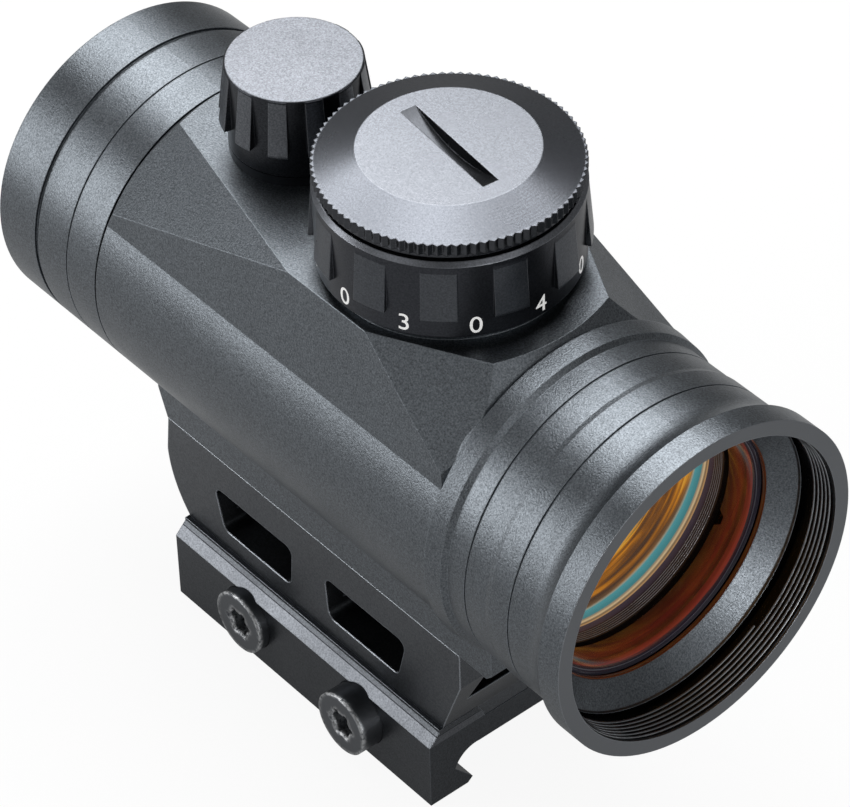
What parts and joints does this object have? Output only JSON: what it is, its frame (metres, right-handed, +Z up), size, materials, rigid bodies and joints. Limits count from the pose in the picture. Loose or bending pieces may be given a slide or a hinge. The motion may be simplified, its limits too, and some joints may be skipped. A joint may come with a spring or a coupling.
{
  "type": "red dot sight",
  "caption": "Tube red dot sight used as a finder: turned tube with a lens bell and an eyepiece ring, brightness knob and adjuster caps on top and side, riser with windows and a rail clamp.",
  "frame": {"origin": "centre of the rail seat, the flat roof of the clamp's channel, at the clamp's middle", "axes": "+X along the optical axis towards the objective, +Z up from the rail, +Y towards the windage cap"},
  "size_m": [0.0954, 0.0508, 0.0785],
  "materials": {
    "body_anodised": "bead-blasted, hard anodised dark grey",
    "knob_anodised": "fine bead-blasted, black anodised",
    "mount_anodised": "bead-blasted, hard anodised dark grey",
    "inner_black": "matt black anodised",
    "ring_black": "satin black anodised",
    "coated_glass": "dichroic mirror coating",
    "clear_glass": "anti-reflection coated",
    "steel_black": "black oxide",
    "steel_bright": "nickel plated",
    "spring_steel": "blued spring strip",
    "brass_part": "machined",
    "seal_rubber": "matt",
    "board": "solder mask",
    "diode": "clear red epoxy"
  },
  "bodies": {
    "sight": {"main_housing": "body_anodised", "front_bell": "body_anodised", "rear_bell": "body_anodised", "bell_seals": "seal_rubber", "ocular_window": "clear_glass", "ocular_retaining_ring": "ring_black", "gimbal_pins_upright": "steel_bright", "return_spring": "spring_steel", "elevation_seat": "knob_anodised", "windage_seat": "knob_anodised", "battery_holder": "inner_black", "coin_cell": "steel_bright", "cell_contact": "spring_steel", "switch_board": "board", "click_washer": "spring_steel", "riser": "mount_anodised", "riser_screws": "steel_black", "clamp_base": "mount_anodised", "clamp_screws": "steel_black"},
    "gimbal": {"gimbal_ring": "brass_part", "gimbal_pins_level": "steel_bright"},
    "inner_optics": {"inner_tube": "inner_black", "objective_lens": "coated_glass", "objective_retaining_ring": "ring_black", "emitter_bracket": "inner_black", "emitter_diode": "diode"},
    "elevation_adjuster": {"elevation_dial": "brass_part"},
    "elevation_pusher": {"elevation_plunger": "steel_bright"},
    "elevation_cap_ring": {"elevation_seal": "seal_rubber"},
    "elevation_cover": {"elevation_cap": "knob_anodised"},
    "windage_adjuster": {"windage_dial": "brass_part"},
    "windage_pusher": {"windage_plunger": "steel_bright"},
    "windage_cap_ring": {"windage_seal": "seal_rubber"},
    "windage_cover": {"windage_cap": "knob_anodised"},
    "brightness_knob": {"brightness_dial": "knob_anodised", "switch_wiper": "brass_part"},
    "battery_cap_ring": {"battery_cap_seal": "seal_rubber"},
    "battery_cover": {"battery_cap": "knob_anodised"},
    "jaw": {"clamp_jaw": "mount_anodised"},
    "bolt_front": {"clamp_bolt_front": "steel_black"},
    "bolt_rear": {"clamp_bolt_rear": "steel_black"}
  },
  "joints": [
    {"name": "windage_swing", "type": "hinge", "parent": "sight", "child": "gimbal", "pos_m": [0.02233, 0, 0.0387], "axis": [0, 0, 1], "range_deg": [-0.79, 0.79]},
    {"name": "elevation_swing", "type": "hinge", "parent": "gimbal", "child": "inner_optics", "pos_m": [0.02233, 0, 0.0387], "axis": [0, 1, 0], "range_deg": [-0.79, 0.79]},
    {"name": "elevation_dial_turn", "type": "hinge", "parent": "sight", "child": "elevation_adjuster", "pos_m": [-0.01432, 0, 0.0387], "axis": [0, 0, 1], "range_deg": [-360, 360]},
    {"name": "elevation_plunger_slide", "type": "slide", "parent": "sight", "child": "elevation_pusher", "axis": [0, 0, 1], "range_m": [-0.0005, 0.0005]},
    {"name": "elevation_cap_lift", "type": "slide", "parent": "sight", "child": "elevation_cap_ring", "axis": [0, 0, 1], "range_m": [0, 0.0045]},
    {"name": "elevation_cap_turn", "type": "hinge", "parent": "elevation_cap_ring", "child": "elevation_cover", "pos_m": [-0.01432, 0, 0.0387], "axis": [0, 0, 1], "range_deg": [0, 2160]},
    {"name": "windage_dial_turn", "type": "hinge", "parent": "sight", "child": "windage_adjuster", "pos_m": [-0.01432, 0, 0.0387], "axis": [0, 1, 0], "range_deg": [-360, 360]},
    {"name": "windage_plunger_slide", "type": "slide", "parent": "sight", "child": "windage_pusher", "axis": [0, 1, 0], "range_m": [-0.0005, 0.0005]},
    {"name": "windage_cap_lift", "type": "slide", "parent": "sight", "child": "windage_cap_ring", "axis": [0, 1, 0], "range_m": [0, 0.0045]},
    {"name": "windage_cap_turn", "type": "hinge", "parent": "windage_cap_ring", "child": "windage_cover", "pos_m": [-0.01432, 0, 0.0387], "axis": [0, 1, 0], "range_deg": [0, 2160]},
    {"name": "brightness_dial_turn", "type": "hinge", "parent": "sight", "child": "brightness_knob", "pos_m": [0.01096, 0, 0.0387], "axis": [0, 0, 1], "range_deg": [-180, 150]},
    {"name": "battery_cap_lift", "type": "slide", "parent": "sight", "child": "battery_cap_ring", "axis": [0, 0, 1], "range_m": [0, 0.00225]},
    {"name": "battery_cap_turn", "type": "hinge", "parent": "battery_cap_ring", "child": "battery_cover", "pos_m": [0.01096, 0, 0.0387], "axis": [0, 0, 1], "range_deg": [0, 1080]},
    {"name": "clamp_bolt_front_turn", "type": "hinge", "parent": "sight", "child": "bolt_front", "pos_m": [0.01046, 0, -0.0002], "axis": [0, -1, 0], "range_deg": [0, 1440]},
    {"name": "clamp_bolt_rear_turn", "type": "hinge", "parent": "sight", "child": "bolt_rear", "pos_m": [-0.00956, 0, -0.0002], "axis": [0, -1, 0], "range_deg": [0, 1440]},
    {"name": "clamp_jaw_slide", "type": "slide", "parent": "sight", "child": "jaw", "axis": [0, 1, 0], "range_m": [0, 0.0032]}
  ],
  "couplings": [
    {"joint": "elevation_dial_turn", "follows": "elevation_plunger_slide", "rad_per_m": -12566},
    {"joint": "elevation_swing", "follows": "elevation_plunger_slide", "rad_per_m": 27.28},
    {"joint": "windage_dial_turn", "follows": "windage_plunger_slide", "rad_per_m": -12566},
    {"joint": "windage_swing", "follows": "windage_plunger_slide", "rad_per_m": -27.28},
    {"joint": "elevation_cap_turn", "follows": "elevation_cap_lift", "rad_per_m": 8377.5},
    {"joint": "windage_cap_turn", "follows": "windage_cap_lift", "rad_per_m": 8377.5},
    {"joint": "battery_cap_turn", "follows": "battery_cap_lift", "rad_per_m": 8377.5},
    {"joint": "clamp_bolt_front_turn", "follows": "clamp_jaw_slide", "rad_per_m": 7853.9},
    {"joint": "clamp_bolt_rear_turn", "follows": "clamp_jaw_slide", "rad_per_m": 7853.9}
  ]
}
